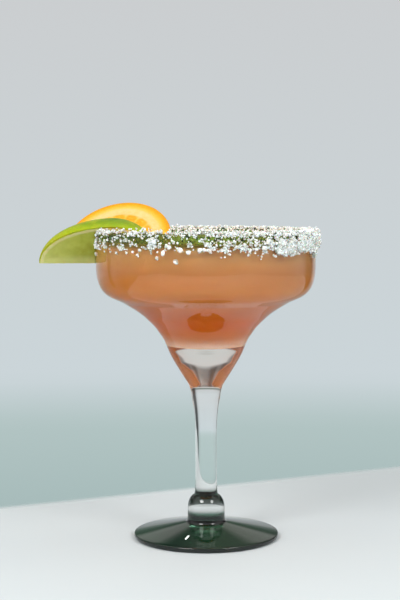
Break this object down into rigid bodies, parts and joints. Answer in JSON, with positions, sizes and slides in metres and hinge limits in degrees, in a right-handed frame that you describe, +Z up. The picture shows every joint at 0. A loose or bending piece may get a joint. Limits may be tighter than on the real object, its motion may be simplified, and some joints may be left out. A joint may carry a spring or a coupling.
{
  "type": "margarita cocktail in a stemmed glass",
  "caption": "Cloudy peach margarita in a wide stemmed glass with a green rim and foot, a salted rim, a lime wedge and a half slice of orange.",
  "frame": {"origin": "centre of the foot's flat underside, on the surface that the glass stands on", "axes": "+Z up along the stem, +X to the right as in the picture, away from the garnish, +Y away from the viewer"},
  "size_m": [0.1505, 0.122, 0.1802],
  "materials": {
    "glass": "polished, clear, with a green band at the rim and a bottle green foot",
    "drink": "wet, cloudy",
    "salt": "coarse crystals",
    "lime": "waxy skin and wet flesh",
    "orange": "waxy peel and wet flesh"
  },
  "bodies": {
    "root": {"glass": "glass", "drink": "drink", "salt_rim": "salt", "lime_wedge": "lime", "orange_slice": "orange"}
  },
  "joints": []
}
